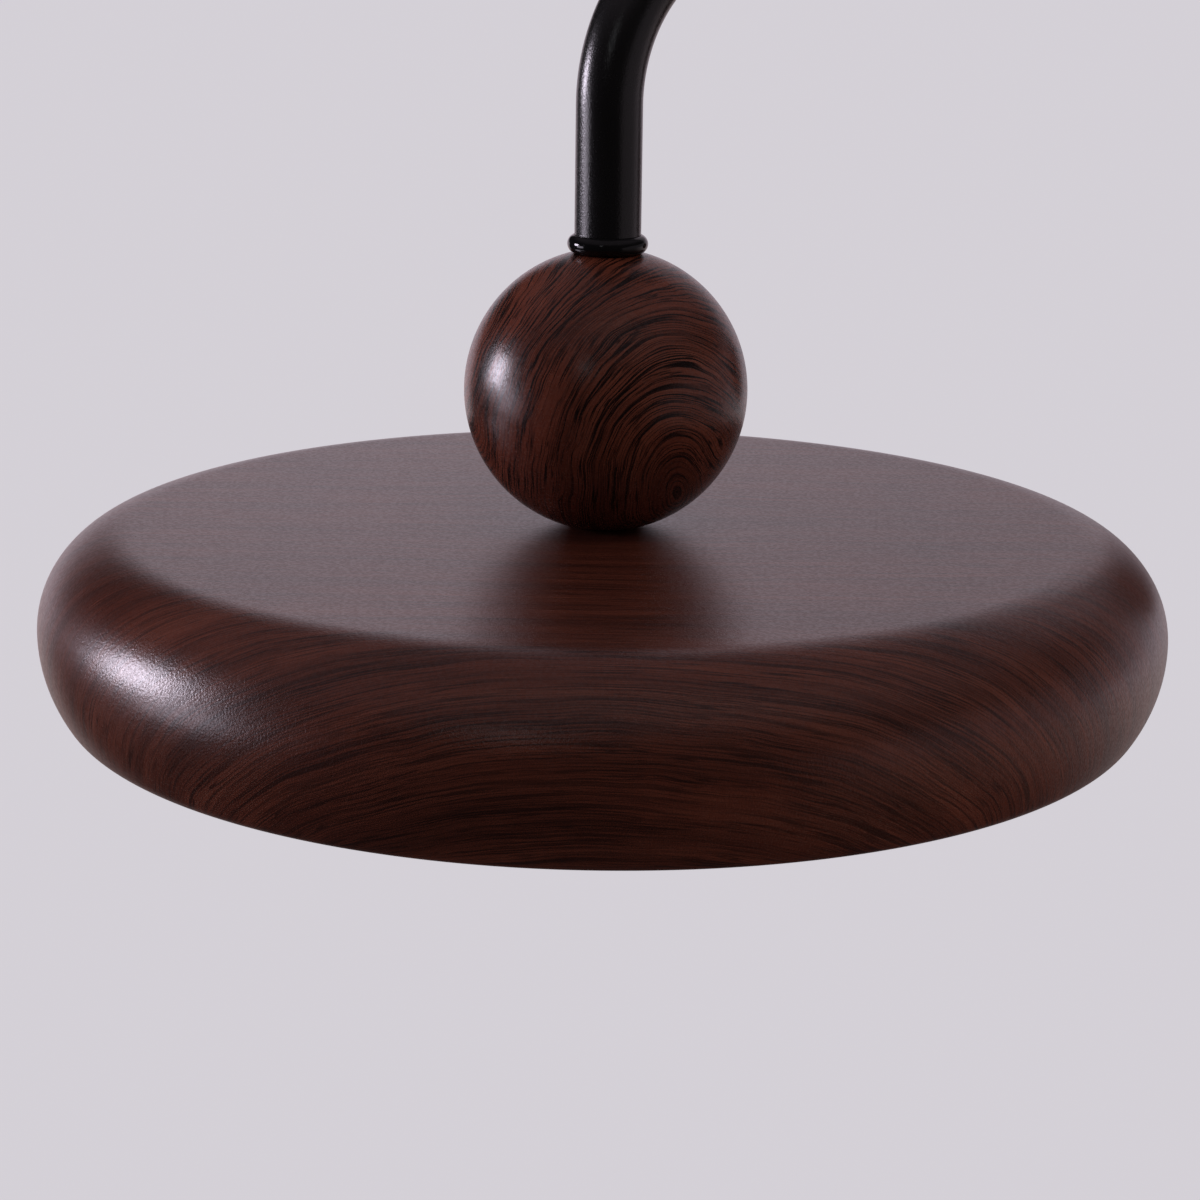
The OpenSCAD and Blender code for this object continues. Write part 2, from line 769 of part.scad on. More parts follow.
// A coned spring washer that keeps the swivel stiff
module disc_spring() {
    sheet = 0.7;
    inner = nipple_d / 2 + fit_gap;
    outer = bush_flange_d / 2 - 1;
    color(zinc) at_pivot() translate([0, 0, disc_spring_z]) rotate_extrude() polygon([
        [inner, 0], [inner, sheet], [outer, spring_h], [outer, spring_h - sheet]
    ]);
}

module pivot_nut() {
    color(zinc) at_pivot() translate([0, 0, pivot_nut_z]) {
        hex_nut(nut_flats, nipple_d + 2 * fit_gap, nut_t);
    }
}

// The lamp's cable on the arm side: up the swing axis, along the tube, down to the driver
module arm_cable() {
    cable_end = shade_z + hanger_end - nipple_bush_t;
    color(grey_sheath) union() {
        arm_run(cable_d, cable_bend_r + thrust_gap, cable_end);
        translate([0, -shade_out, cable_end]) union() {
            rotate([180, 0, 0]) rotate([0, 0, 180]) quarter_bend(cable_d, drop_bend_r);
            translate([0, drop_bend_r, -drop_bend_r]) run_y(cable_d, driver_y - drop_bend_r - fit_gap);
        }
    }
}

module tube_insert() {
    color(brass) translate([0, -shade_out, tube_ball_end]) {
        washer(tube_bore - 2 * fit_gap, nipple_d + 2 * fit_gap, insert_len);
    }
}

module ball_collar() {
    color(gloss_black) translate([0, -shade_out, ball_collar_z]) {
        bead_collar(nipple_d + 2 * fit_gap, tube_d + 2 * fit_gap, collar_socket);
    }
}

module ball() {
    color(walnut) translate([0, -shade_out, ball_z]) difference() {
        sphere(d = ball_d);
        sphere(d = ball_d - 2 * ball_wall);
        cylinder(h = ball_d, d = nipple_d + 2 * fit_gap, center = true);
        for (side = [-1, 1]) translate([0, 0, side * (ball_half + ball_d / 2)]) cube(ball_d, center = true);
    }
}

module hanger_nipple() {
    top = tube_ball_end + insert_len - 2;
    bottom = shade_z + hanger_end;
    color(brass) translate([0, -shade_out, bottom]) washer(nipple_d, nipple_bore, top - bottom);
}

// A plastic bush that keeps the cable off the nipple's cut end
module nipple_bush() {
    bore = cable_d + 2 * fit_gap;
    color(nylon) at_shade() translate([0, 0, hanger_end]) {
        translate([0, 0, -nipple_bush_t]) washer(nipple_d, bore, nipple_bush_t);
        washer(nipple_bore - 2 * fit_gap, bore, nipple_bush_len);
    }
}

module shade() {
    color(walnut) at_shade() difference() {
        rotate_extrude() shade_section();
        seat_screw_places() translate([0, 0, seat_z - cut]) {
            cylinder(h = shade_wall + 2 * cut, d = m3[0] + 2 * fit_gap);
        }
    }
}

// A hat-shaped strap under the shade's top, with feet that carry the plate
module hanger_bracket() {
    top = -shade_wall;
    foot = plate_top;
    color(zinc) at_shade() difference() {
        union() {
            translate([-leg_x, -hanger_w / 2, top - strap_t]) cube([2 * leg_x, hanger_w, strap_t]);
            for (side = [-1, 1]) {
                translate([side * (leg_x - strap_t / 2) - strap_t / 2, -hanger_w / 2, foot]) {
                    cube([strap_t, hanger_w, top - foot]);
                }
                translate([side * (leg_x + foot_len / 2 - strap_t / 2) - foot_len / 2 - strap_t / 2, -hanger_w / 2, foot]) {
                    cube([foot_len + strap_t, hanger_w, strap_t]);
                }
            }
        }
        translate([0, 0, top - strap_t - cut]) cylinder(h = strap_t + 2 * cut, d = nipple_d + 2 * fit_gap);
        for (side = [-1, 1]) translate([side * foot_hole_x, 0, foot - cut]) {
            cylinder(h = strap_t + 2 * cut, d = m4[0] + 2 * fit_gap);
        }
    }
}

module lock_washer() {
    color(zinc) at_shade() translate([0, 0, -shade_wall - strap_t - washer_t]) {
        washer(lock_washer_d, nipple_d + 2 * fit_gap, washer_t);
    }
}

module hanger_nut() {
    color(brass) at_shade() translate([0, 0, hanger_nut_z]) hex_nut(nut_flats, nipple_d + 2 * fit_gap, nut_t);
}

// Places shared by the plate, the board and what passes through them
lead_out = 9;
lead_x = driver_size[0] / 2 + lead_out;
lead_gap = 3;
board_screw_inset = 6;
board_screw_r = board_d / 2 - board_screw_inset;
driver_mid_y = driver_y + driver_size[1] / 2;
driver_screw_x = driver_size[0] / 2 + driver_lug / 2;

module lead_places() {
    for (side = [-1, 1]) translate([lead_x, driver_mid_y + side * lead_gap / 2, 0]) children();
}

module board_screw_places() {
    for (a = [30, 150, 270]) rotate([0, 0, a]) translate([board_screw_r, 0, 0]) children();
}

module driver_screw_places() {
    translate([-driver_screw_x, driver_mid_y, 0]) children();
    translate([driver_screw_x, driver_mid_y - driver_size[1] / 2 + driver_lug / 2, 0]) children();
}

module plate_screw_places() {
    for (side = [-1, 1]) translate([side * foot_hole_x, 0, 0]) children();
}

module led_plate() {
    color(zinc) at_shade() translate([0, 0, plate_z]) difference() {
        cylinder(h = plate_t, d = plate_d);
        translate([0, 0, -cut]) {
            plate_screw_places() cylinder(h = plate_t + 2 * cut, d = m4[0] + 2 * fit_gap);
            board_screw_places() cylinder(h = plate_t + 2 * cut, d = m3[0] + 2 * fit_gap);
            driver_screw_places() cylinder(h = plate_t + 2 * cut, d = m3[0] + 2 * fit_gap);
            lead_places() cylinder(h = plate_t + 2 * cut, d = lead_d + 1);
        }
    }
}

// Screws that hold the plate to the hanger's feet, with their heads in holes through the board
module plate_screws() {
    color(zinc) at_shade() plate_screw_places() translate([0, 0, plate_z]) rotate([180, 0, 0]) {
        pan_screw(m4, plate_t + strap_t + 1);
    }
}

module led_board() {
    color(white_lacquer) at_shade() translate([0, 0, board_z]) difference() {
        cylinder(h = board_t, d = board_d);
        translate([0, 0, -cut]) {
            plate_screw_places() cylinder(h = board_t + 2 * cut, d = m4[1] + 1);
            board_screw_places() cylinder(h = board_t + 2 * cut, d = m3[0] + 2 * fit_gap);
            driver_screw_places() cylinder(h = board_t + 2 * cut, d = m3[0] + 1);
            lead_places() cylinder(h = board_t + 2 * cut, d = lead_d + 2 * fit_gap);
        }
    }
}

module board_screws() {
    color(zinc) at_shade() board_screw_places() translate([0, 0, board_z]) rotate([180, 0, 0]) {
        pan_screw(m3, board_t + plate_t);
    }
}

// Two rings of chips: radius and count
chip_inset = 14;
inner_ring_r = 26;
chip_rings = [[inner_ring_r, 10], [board_d / 2 - chip_inset, 28]];

module leds() {
    color(phosphor) at_shade() for (ring = chip_rings, i = [0:ring[1] - 1]) {
        rotate([0, 0, 360 * (i + 0.5) / ring[1]]) {
            translate([ring[0] - chip_size[0] / 2, -chip_size[1] / 2, board_z - chip_size[2]]) cube(chip_size);
        }
    }
}

module led_driver() {
    lug_height = 2;
    color(white_lacquer) at_shade() translate([0, driver_mid_y, plate_top]) difference() {
        union() {
            translate([-driver_size[0] / 2, -driver_size[1] / 2, 0]) cube(driver_size);
            translate([-driver_size[0] / 2 - driver_lug, -driver_lug, 0]) cube([driver_lug, 2 * driver_lug, lug_height]);
            translate([driver_size[0] / 2, -driver_size[1] / 2, 0]) cube([driver_lug, driver_lug, lug_height]);
        }
        translate([0, -driver_mid_y, -cut]) driver_screw_places() {
            cylinder(h = lug_height + 2 * cut, d = m3[0] + 2 * fit_gap);
        }
        // Rebated lid line round the case
        translate([0, 0, driver_size[2] - driver_inset]) difference() {
            cube([2 * driver_size[0], 2 * driver_size[1], 0.6], center = true);
            cube([driver_size[0] - 1, driver_size[1] - 1, 2], center = true);
        }
    }
}

module driver_screws() {
    lug_height = 2;
    color(zinc) at_shade() driver_screw_places() translate([0, 0, plate_top + lug_height]) {
        pan_screw(m3, lug_height + plate_t);
    }
}

// Two leads from the driver's end, turning down through the plate to the board
module led_leads() {
    lead_bend = 4;
    start = driver_size[0] / 2 + fit_gap;
    height = plate_top + lead_bend + 2;
    color(grey_sheath) at_shade() for (side = [-1, 1]) {
        translate([lead_x, driver_mid_y + side * lead_gap / 2, 0]) {
            translate([0, 0, board_z]) cylinder(h = height - lead_bend - board_z, d = lead_d);
            translate([0, 0, height - lead_bend]) rotate([0, 0, 90]) quarter_bend(lead_d, lead_bend);
            translate([start - lead_x, 0, height]) rotate([0, 90, 0]) {
                cylinder(h = lead_x - lead_bend - start, d = lead_d);
            }
        }
    }
}

module diffuser() {
    color(opal) at_shade() translate([0, 0, diffuser_z]) difference() {
        cylinder(h = diffuser_t, r = open_r - drop_gap);
        seat_screw_places() translate([0, 0, -cut]) cylinder(h = diffuser_t + 2 * cut, d = m3[0] + 2 * fit_gap);
    }
}

module retaining_ring() {
    color(satin_black) at_shade() translate([0, 0, ring_z]) difference() {
        washer(2 * (open_r - drop_gap), 2 * seat_r, ring_t);
        seat_screw_places() translate([0, 0, -cut]) cylinder(h = ring_t + 2 * cut, d = m3[0] + 2 * fit_gap);
    }
}

module ring_screws() {
    color(satin_black) at_shade() seat_screw_places() translate([0, 0, ring_z]) rotate([180, 0, 0]) {
        pan_screw([m3[0], m3[1], 0.6], ring_t + diffuser_t + shade_wall + 2);
    }
}

wall_bracket();
earth_screw();
terminal_tab();
terminal_block();
terminal_screws();
canopy();
canopy_screws();
stub_nipple();
stub_washer();
stub_nut();
locating_pin();
swivel_sleeve();
upper_bush();
lower_bush();
stop_screw();
sleeve_cap();
base_cable();
switch_body();
switch_nut();
switch_spring();
switch_leads();
switch_button();
arm_tube();
pivot_plug();
swing_collar();
pivot_washer();
disc_spring();
pivot_nut();
arm_cable();
tube_insert();
ball_collar();
ball();
hanger_nipple();
nipple_bush();
shade();
hanger_bracket();
lock_washer();
hanger_nut();
led_plate();
plate_screws();
led_board();
board_screws();
leds();
led_driver();
driver_screws();
led_leads();
diffuser();
retaining_ring();
ring_screws();
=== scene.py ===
import json
import math

import bmesh
import bpy
import numpy as np
from mathutils import Matrix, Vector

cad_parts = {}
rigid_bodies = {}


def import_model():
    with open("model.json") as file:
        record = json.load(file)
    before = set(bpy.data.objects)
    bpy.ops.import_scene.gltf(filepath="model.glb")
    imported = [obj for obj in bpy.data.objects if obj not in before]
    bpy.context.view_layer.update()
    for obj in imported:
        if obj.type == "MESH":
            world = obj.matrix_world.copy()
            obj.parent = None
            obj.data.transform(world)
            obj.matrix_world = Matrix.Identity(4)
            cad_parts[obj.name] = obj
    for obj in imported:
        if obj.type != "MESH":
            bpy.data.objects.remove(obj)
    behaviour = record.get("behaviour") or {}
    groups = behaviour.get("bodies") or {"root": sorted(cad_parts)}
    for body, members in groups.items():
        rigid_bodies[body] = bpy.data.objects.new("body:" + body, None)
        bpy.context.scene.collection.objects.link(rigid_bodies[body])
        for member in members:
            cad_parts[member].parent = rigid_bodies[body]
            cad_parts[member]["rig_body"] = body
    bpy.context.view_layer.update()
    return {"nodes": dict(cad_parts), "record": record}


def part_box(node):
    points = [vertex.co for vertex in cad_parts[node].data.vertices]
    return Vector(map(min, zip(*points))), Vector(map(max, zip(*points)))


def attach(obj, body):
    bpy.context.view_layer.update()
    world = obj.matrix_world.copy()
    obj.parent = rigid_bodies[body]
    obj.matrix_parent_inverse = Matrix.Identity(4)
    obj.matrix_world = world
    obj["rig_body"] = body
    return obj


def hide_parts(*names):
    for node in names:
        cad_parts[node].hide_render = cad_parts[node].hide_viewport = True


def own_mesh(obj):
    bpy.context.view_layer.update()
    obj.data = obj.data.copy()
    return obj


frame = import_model()
print("frame loaded:", len(frame["nodes"]), "nodes")

scene = bpy.context.scene
scene.view_settings.view_transform = "Standard"

shadeLow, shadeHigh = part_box("shade")
ballLow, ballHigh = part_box("ball")
shadeAxis = np.array([(shadeLow[0] + shadeHigh[0]) / 2, (shadeLow[1] + shadeHigh[1]) / 2])
shadeTop = float(shadeHigh[2])

# camera, fitted to the outlines of the shade, the ball and the tube
cameraPlan = {
    "azimuth": 50.0,        # degrees round the light, 0 looks straight at the wall
    "elevation": 13.02,     # degrees above the shade's top
    "distance": 0.6907,     # from the middle of the shade's flat top
    "lens": 96.9,
    "roll": 0.75,           # degrees, right side lower
    "frame": 1200,          # side of the square picture that aim is counted in
    "aim": (604.0, 523.6),  # where the middle of the flat top lands in it
    "clip": (0.01, 60.0),
}


def makeCamera(plan):
    # a level camera's right, up and back directions, then the roll for the camera alone
    a, e, r = (math.radians(plan[k]) for k in ("azimuth", "elevation", "roll"))
    back = np.array([math.sin(a) * math.cos(e), -math.cos(a) * math.cos(e), math.sin(e)])
    right = np.array([math.cos(a), math.sin(a), 0.0])
    up = np.cross(back, right)
    data = bpy.data.cameras.new("photoCamera")
    data.lens = plan["lens"]
    data.shift_x = (plan["frame"] / 2 - plan["aim"][0]) / plan["frame"]
    data.shift_y = (plan["aim"][1] - plan["frame"] / 2) / plan["frame"]
    data.clip_start, data.clip_end = plan["clip"]
    cam = bpy.data.objects.new("photoCamera", data)
    place = np.eye(4)
    place[:3, 0] = right * math.cos(r) + up * math.sin(r)
    place[:3, 1] = up * math.cos(r) - right * math.sin(r)
    place[:3, 2] = back
    place[:3, 3] = np.array([*shadeAxis, shadeTop]) + back * plan["distance"]
    cam.matrix_world = Matrix(place.tolist())
    scene.collection.objects.link(cam)
    scene.camera = cam
    return right, up, back


camRight, camUp, camBack = makeCamera(cameraPlan)
print("camera made")


class Wire:
    # wraps a socket; an expression on wires adds Math nodes to the same tree
    def __init__(self, tree, socket=None):
        self.tree = tree
        self.socket = socket

    def add(self, kind, settings=None, values=None, out=0):
        # one node of any kind: settings first, then the values or links of its sockets
        node = self.tree.nodes.new(kind)
        for key, value in (settings or {}).items():
            if key == "stops":
                ramp = node.color_ramp
                while len(ramp.elements) < len(value):
                    ramp.elements.new(0.5)
                for element, (place, colour) in zip(ramp.elements, value):
                    element.position = place
                    element.color = colour
            else:
                setattr(node, key, value)
        for key, value in (values or {}).items():
            if isinstance(value, Wire):
                self.tree.links.new(value.socket, node.inputs[key])
            else:
                node.inputs[key].default_value = value
        return Wire(self.tree, node.outputs[out])

    def other(self, out):
        # another output of the same node
        return Wire(self.tree, self.socket.node.outputs[out])

    def maths(self, operation, *values):
        return self.add("ShaderNodeMath", {"operation": operation}, dict(enumerate(values)))

    def __add__(self, other):
        return self.maths("ADD", self, other)

    def __radd__(self, other):
        return self.maths("ADD", other, self)

    def __sub__(self, other):
        return self.maths("SUBTRACT", self, other)

    def __rsub__(self, other):
        return self.maths("SUBTRACT", other, self)

    def __mul__(self, other):
        return self.maths("MULTIPLY", self, other)

    def __rmul__(self, other):
        return self.maths("MULTIPLY", other, self)

    def __abs__(self):
        return self.maths("ABSOLUTE", self)

    def fract(self):
        return self.maths("FRACT", self)

    def root(self):
        return self.maths("SQRT", self)

    def band(self, low, high):
        # 0 below low, 1 above high, smooth between
        return self.add("ShaderNodeMapRange", {"interpolation_type": "SMOOTHSTEP"},
                        {"Value": self, "From Min": low, "From Max": high})

    def mix(self, first, second):
        # colour from first to second by this value
        return self.add("ShaderNodeMix", {"data_type": "RGBA"}, {0: self, 6: first, 7: second}, 2)

    def noise(self, vector, detail=2.0, rough=0.5, scale=1.0):
        return self.add("ShaderNodeTexNoise", None,
                        {"Vector": vector, "Scale": scale, "Detail": detail, "Roughness": rough})

    def vector(self, x, y, z):
        return self.add("ShaderNodeCombineXYZ", None, {0: x, 1: y, 2: z})

    def split(self):
        first = self.add("ShaderNodeSeparateXYZ", None, {0: self})
        return first, first.other(1), first.other(2)

    def point(self):
        return self.add("ShaderNodeTexCoord", None, None, "Object")


def newFinish(name, **sockets):
    # a material with a Principled shader whose plain values are set on its sockets
    mat = bpy.data.materials.new(name)
    mat.use_nodes = True
    shader = mat.node_tree.nodes["Principled BSDF"]
    for key, value in sockets.items():
        shader.inputs[key.replace("_", " ")].default_value = value
    return mat, Wire(mat.node_tree), shader


def plug(shader, **wires):
    for key, wire in wires.items():
        wire.tree.links.new(wire.socket, shader.inputs[key.replace("_", " ")])


def bumped(height, strength, distance):
    return height.add("ShaderNodeBump", None,
                      {"Height": height, "Strength": strength, "Distance": distance})


def rgb(r, g, b):
    return (r, g, b, 1.0)


# walnut film under a satin clear coat; a piece's grain attribute gives the place on the film:
# across the grain, along it and a third way, in decimetres. Pairs are waves per decimetre, across and along
walnutPlan = {
    "dark": rgb(0.0105, 0.0036, 0.0031),
    "low": rgb(0.054, 0.0136, 0.0083),
    "body": rgb(0.107, 0.0258, 0.0147),
    "light": rgb(0.168, 0.0455, 0.0262),
    "drift": (2.4, 1.3), "driftReach": 0.07,    # slow wander of the lines, in decimetres
    "wave": (11.0, 6.0), "waveReach": 0.013,    # their small waves
    "band": (16.0, 0.8),                        # broad tones
    "crowd": (33.6, 2.6),                       # where lines crowd together
    "line": (125.0, 1.6), "thread": 1.0,        # long thin lines and their strength
    "dash": (175.0, 9.0), "stroke": 1.0,        # broken vessel lines and their strength
    "fibre": (520.0, 16.0),                     # finest fibres
    "ior": 1.48, "roughness": 0.26, "swing": 0.10,
    "peel": 2100.0, "lift": 0.40, "depth": 0.00008,  # waves of the clear coat per metre, strength, metres
    "matt": 1150.0, "coat": 0.42,               # matt flecks in the clear coat per metre, most coat
    "coatRoughness": 0.30, "coatIor": 1.5,
}
# on the shade and the wall cover the coat is more pebbled
shadeFilmPlan = dict(walnutPlan, roughness=0.30, ior=1.6, peel=2050.0, lift=0.76,
                     line=(160.0, 1.6), stroke=0.70, thread=0.90)
# on the ball the print is finer and stronger
ballFilmPlan = dict(walnutPlan, line=(190.0, 1.6), dash=(240.0, 9.0), stroke=0.85, thread=1.5,
                    low=rgb(0.068, 0.0175, 0.0108), body=rgb(0.144, 0.0362, 0.0210),
                    light=rgb(0.214, 0.0606, 0.0355))


def walnutFilm(name, plan):
    mat, start, shader = newFinish(name, IOR=plan["ior"], Coat_Roughness=plan["coatRoughness"],
                                   Coat_IOR=plan["coatIor"])
    grain = start.add("ShaderNodeAttribute", {"attribute_name": "grain"}, None, "Vector")
    across, along, third = grain.split()

    def strand(place, key, detail, rough=0.5):
        # noise drawn out along the grain
        wide, long = plan[key]
        return start.noise(start.vector(place * wide, along * long, third * long), detail, rough)

    drift, wave = strand(across, "drift", 2.0), strand(across, "wave", 2.0)
    lane = across + (drift - 0.5) * plan["driftReach"] + (wave - 0.5) * plan["waveReach"]
    broad = strand(lane, "band", 3.0, 0.6)
    contour = strand(lane, "line", 1.0)
    dash = strand(lane, "dash", 2.0, 0.55)
    crowd = strand(lane, "crowd", 2.0)
    fibre = strand(lane, "fibre", 1.0)
    # tone by the broad bands and the fibres, then the darker of the two kinds of line
    stops = [(0.0, plan["low"]), (0.5, plan["body"]), (1.0, plan["light"])]
    tone = start.add("ShaderNodeValToRGB", {"stops": stops},
                     {0: broad.band(0.22, 0.80) * 0.66 + fibre.band(0.25, 0.75) * 0.34})
    threads = (1.0 - abs(contour - 0.5).band(0.0, 0.085)) * (0.50 + 0.38 * crowd.band(0.30, 0.60))
    strokes = (1.0 - dash.band(0.345, 0.415)) * (0.45 + 0.55 * crowd.band(0.36, 0.58))
    ink = start.maths("MAXIMUM", strokes * plan["stroke"], threads * plan["thread"])
    point = start.point()
    peel, matt = start.noise(point, 1.5, 0.5, plan["peel"]), start.noise(point, 2.0, 0.6, plan["matt"])
    plug(shader, Base_Color=ink.mix(tone, plan["dark"]), Coat_Weight=matt.band(0.36, 0.66) * plan["coat"],
         Roughness=plan["roughness"] + (peel - 0.5) * plan["swing"],
         Normal=bumped(peel, plan["lift"], plan["depth"]))
    return mat


# plain skins: cloud and grit are a noise's detail, roughness and waves per metre;
# rough is the least roughness and what the cloud and the grit add; bump is strength and metres
skinPlan = {
    "satinBlack": {  # powder coat with a fine pebbled skin
        "slot": "satin_black", "sockets": {"IOR": 1.70},
        "low": rgb(0.0035, 0.0035, 0.004), "high": rgb(0.0065, 0.0065, 0.0075),
        "cloud": (3.0, 0.5, 45.0), "grit": (2.0, 0.5, 2400.0),
        "rough": (0.155, 0.07, 0.12), "bump": (0.46, 0.00009)},
    "blackPlastic": {  # moulded, with a spark-eroded grain
        "slot": "black_plastic", "sockets": {},
        "low": rgb(0.006, 0.006, 0.0065), "high": rgb(0.011, 0.011, 0.012),
        "cloud": (2.0, 0.5, 120.0), "grit": (3.0, 0.6, 5200.0),
        "rough": (0.30, 0.0, 0.16), "bump": (0.25, 0.00005)},
    "nylonWhite": {  # natural nylon, slightly yellow
        "slot": "nylon", "sockets": {},
        "low": rgb(0.56, 0.53, 0.45), "high": rgb(0.70, 0.67, 0.60),
        "cloud": (3.0, 0.55, 150.0), "grit": (2.0, 0.5, 4200.0),
        "rough": (0.38, 0.0, 0.16), "bump": (0.18, 0.00006)},
    "cableSheath": {  # extruded sheath with scuffs
        "slot": "cable_sheath", "sockets": {},
        "low": rgb(0.020, 0.020, 0.022), "high": rgb(0.040, 0.039, 0.040),
        "cloud": (4.0, 0.6, 320.0), "grit": (2.0, 0.5, 3800.0),
        "rough": (0.42, 0.0, 0.16), "bump": (0.20, 0.00006)},
    "driverCase": {  # off-white moulded case
        "slot": "driver_case", "sockets": {},
        "low": rgb(0.60, 0.60, 0.58), "high": rgb(0.70, 0.70, 0.68),
        "cloud": (2.0, 0.5, 70.0), "grit": (3.0, 0.6, 3600.0),
        "rough": (0.42, 0.0, 0.14), "bump": (0.30, 0.00008)},
    "chipPhosphor": {  # phosphor gel, coloured by its own grains
        "slot": "chip_phosphor", "sockets": {},
        "low": rgb(0.70, 0.43, 0.05), "high": rgb(0.86, 0.62, 0.13),
        "cloud": (3.0, 0.6, 5000.0), "grit": (3.0, 0.6, 5000.0),
        "rough": (0.22, 0.0, 0.18), "bump": (0.20, 0.00005)},
}


def plainSkin(name, plan):
    # the cloud gives the colour, the grit lifts the skin, and both change the roughness
    mat, start, shader = newFinish(name, **plan["sockets"])
    point = start.point()
    cloud, grit = start.noise(point, *plan["cloud"]), start.noise(point, *plan["grit"])
    least, byCloud, byGrit = plan["rough"]
    plug(shader, Base_Color=cloud.mix(plan["low"], plan["high"]),
         Roughness=least + cloud * byCloud + grit * byGrit, Normal=bumped(grit, *plan["bump"]))
    return mat


# wet-looking enamel with slight waviness and a few specks of dust
glossPlan = {"low": rgb(0.003, 0.003, 0.0034), "high": rgb(0.006, 0.006, 0.007),
             "wave": 420.0, "dust": 2600.0, "bump": (0.20, 0.0003)}


def glossBlack(plan):
    mat, start, shader = newFinish("glossBlack")
    point = start.point()
    wave, dust = start.noise(point, 2.0, 0.5, plan["wave"]), start.noise(point, 1.0, 0.5, plan["dust"])
    plug(shader, Base_Color=wave.mix(plan["low"], plan["high"]),
         Roughness=0.06 + wave * 0.06 + dust.band(0.68, 0.80) * 0.2, Normal=bumped(wave, *plan["bump"]))
    return mat


# bright zinc: spangle-like patches, fine rolling lines and dull spots
zincPlan = {"low": rgb(0.27, 0.28, 0.30), "high": rgb(0.62, 0.63, 0.64), "spot": rgb(0.20, 0.20, 0.20),
            "patch": 150.0, "spots": 700.0,
            "rolled": (120.0, 4200.0),  # waves per metre along and across the rolling lines
            "bump": (0.20, 0.00008)}


def zincSteel(plan):
    mat, start, shader = newFinish("zincSteel", Metallic=1.0)
    point = start.point()
    x, y, z = point.split()
    run, fine = plan["rolled"]
    patch = start.noise(point, 3.0, 0.6, plan["patch"]).band(0.30, 0.70)
    rolled = start.noise(start.vector(x * run, y * run, z * fine), 2.0, 0.6).band(0.28, 0.72)
    dull = start.noise(point, 4.0, 0.65, plan["spots"]).band(0.54, 0.72)
    metal = (patch * 0.55 + rolled * 0.45).mix(plan["low"], plan["high"])
    plug(shader, Base_Color=(dull * 0.45).mix(metal, plan["spot"]),
         Roughness=0.22 + patch * 0.16 + dull * 0.20, Normal=bumped(rolled, *plan["bump"]))
    return mat


# brass with a rolled thread: a triangle wave along one axis, with painted shade darkening the roots so the
# crests stand brighter
brassPlan = {"low": rgb(0.42, 0.27, 0.085), "high": rgb(0.68, 0.48, 0.19), "root": rgb(0.16, 0.095, 0.03),
             "threads": 1000.0,  # per metre
             "stain": 180.0, "bump": (0.55, 0.0003)}


def turnedBrass(name, axis, plan):
    mat, start, shader = newFinish(name, Metallic=1.0)
    point = start.point()
    ridge = abs((point.split()[axis] * plan["threads"]).fract() - 0.5) * 2.0
    stain = start.noise(point, 4.0, 0.6, plan["stain"])
    metal = stain.mix(plan["low"], plan["high"])
    # painted shade: the thread roots are mixed towards the dark root colour
    plug(shader, Base_Color=((1.0 - ridge.band(0.0, 0.5)) * 0.55).mix(metal, plan["root"]),
         Roughness=0.22 + stain * 0.18, Normal=bumped(ridge, *plan["bump"]))
    return mat


def fromShadeAxis(point):
    # a point's distance from the shade's upright axis
    x, y, _ = point.split()
    run, side = x - float(shadeAxis[0]), y - float(shadeAxis[1])
    return (run * run + side * side).root()


# spun sheet: fine rings round the shade's axis and a soft stain
platePlan = {"low": rgb(0.50, 0.51, 0.53), "high": rgb(0.74, 0.75, 0.76),
             "rings": 2600.0, "stain": 60.0, "bump": (0.15, 0.00005)}


def plateAluminium(plan):
    mat, start, shader = newFinish("plateAluminium", Metallic=1.0)
    point = start.point()
    rings = start.noise(start.vector(fromShadeAxis(point) * plan["rings"], 0.0, 0.0), 2.0, 0.6)
    stain = start.noise(point, 3.0, 0.6, plan["stain"])
    plug(shader, Base_Color=(rings * 0.5 + stain * 0.5).mix(plan["low"], plan["high"]),
         Roughness=0.26 + rings * 0.12 + stain * 0.08, Normal=bumped(rings, *plan["bump"]))
    return mat


# white solder mask over faint ring-shaped copper tracks
boardPlan = {"low": rgb(0.66, 0.67, 0.66), "high": rgb(0.78, 0.785, 0.77),
             "tracks": 125.0, "mask": 700.0, "bump": (0.30, 0.00004)}


def boardWhite(plan):
    mat, start, shader = newFinish("boardWhite")
    point = start.point()
    track = abs((fromShadeAxis(point) * plan["tracks"]).fract() - 0.5).band(0.30, 0.36)
    mask = start.noise(point, 3.0, 0.55, plan["mask"])
    plug(shader, Base_Color=(track * 0.6 + mask * 0.4).mix(plan["low"], plan["high"]),
         Roughness=0.30 + mask * 0.12, Normal=bumped(track, *plan["bump"]))
    return mat


# satin opal sheet, lit softly from behind, brighter towards the middle
opalPlan = {"low": rgb(0.78, 0.765, 0.73), "high": rgb(0.83, 0.815, 0.785),
            "glow": 0.45, "glowMiddle": rgb(1.0, 0.92, 0.80), "glowEdge": rgb(0.80, 0.70, 0.57),
            "glowReach": (0.03, 0.105),  # metres from the axis between which the glow falls
            "cloud": 90.0, "grit": 3000.0, "bump": (0.12, 0.00005)}


def opalAcrylic(plan):
    mat, start, shader = newFinish("opalAcrylic", Emission_Strength=plan["glow"])
    point = start.point()
    cloud, grit = start.noise(point, 3.0, 0.5, plan["cloud"]), start.noise(point, 2.0, 0.5, plan["grit"])
    glow = fromShadeAxis(point).band(*plan["glowReach"]).mix(plan["glowMiddle"], plan["glowEdge"])
    plug(shader, Base_Color=cloud.mix(plan["low"], plan["high"]), Emission_Color=glow,
         Roughness=0.36 + grit * 0.12, Normal=bumped(grit, *plan["bump"]))
    return mat


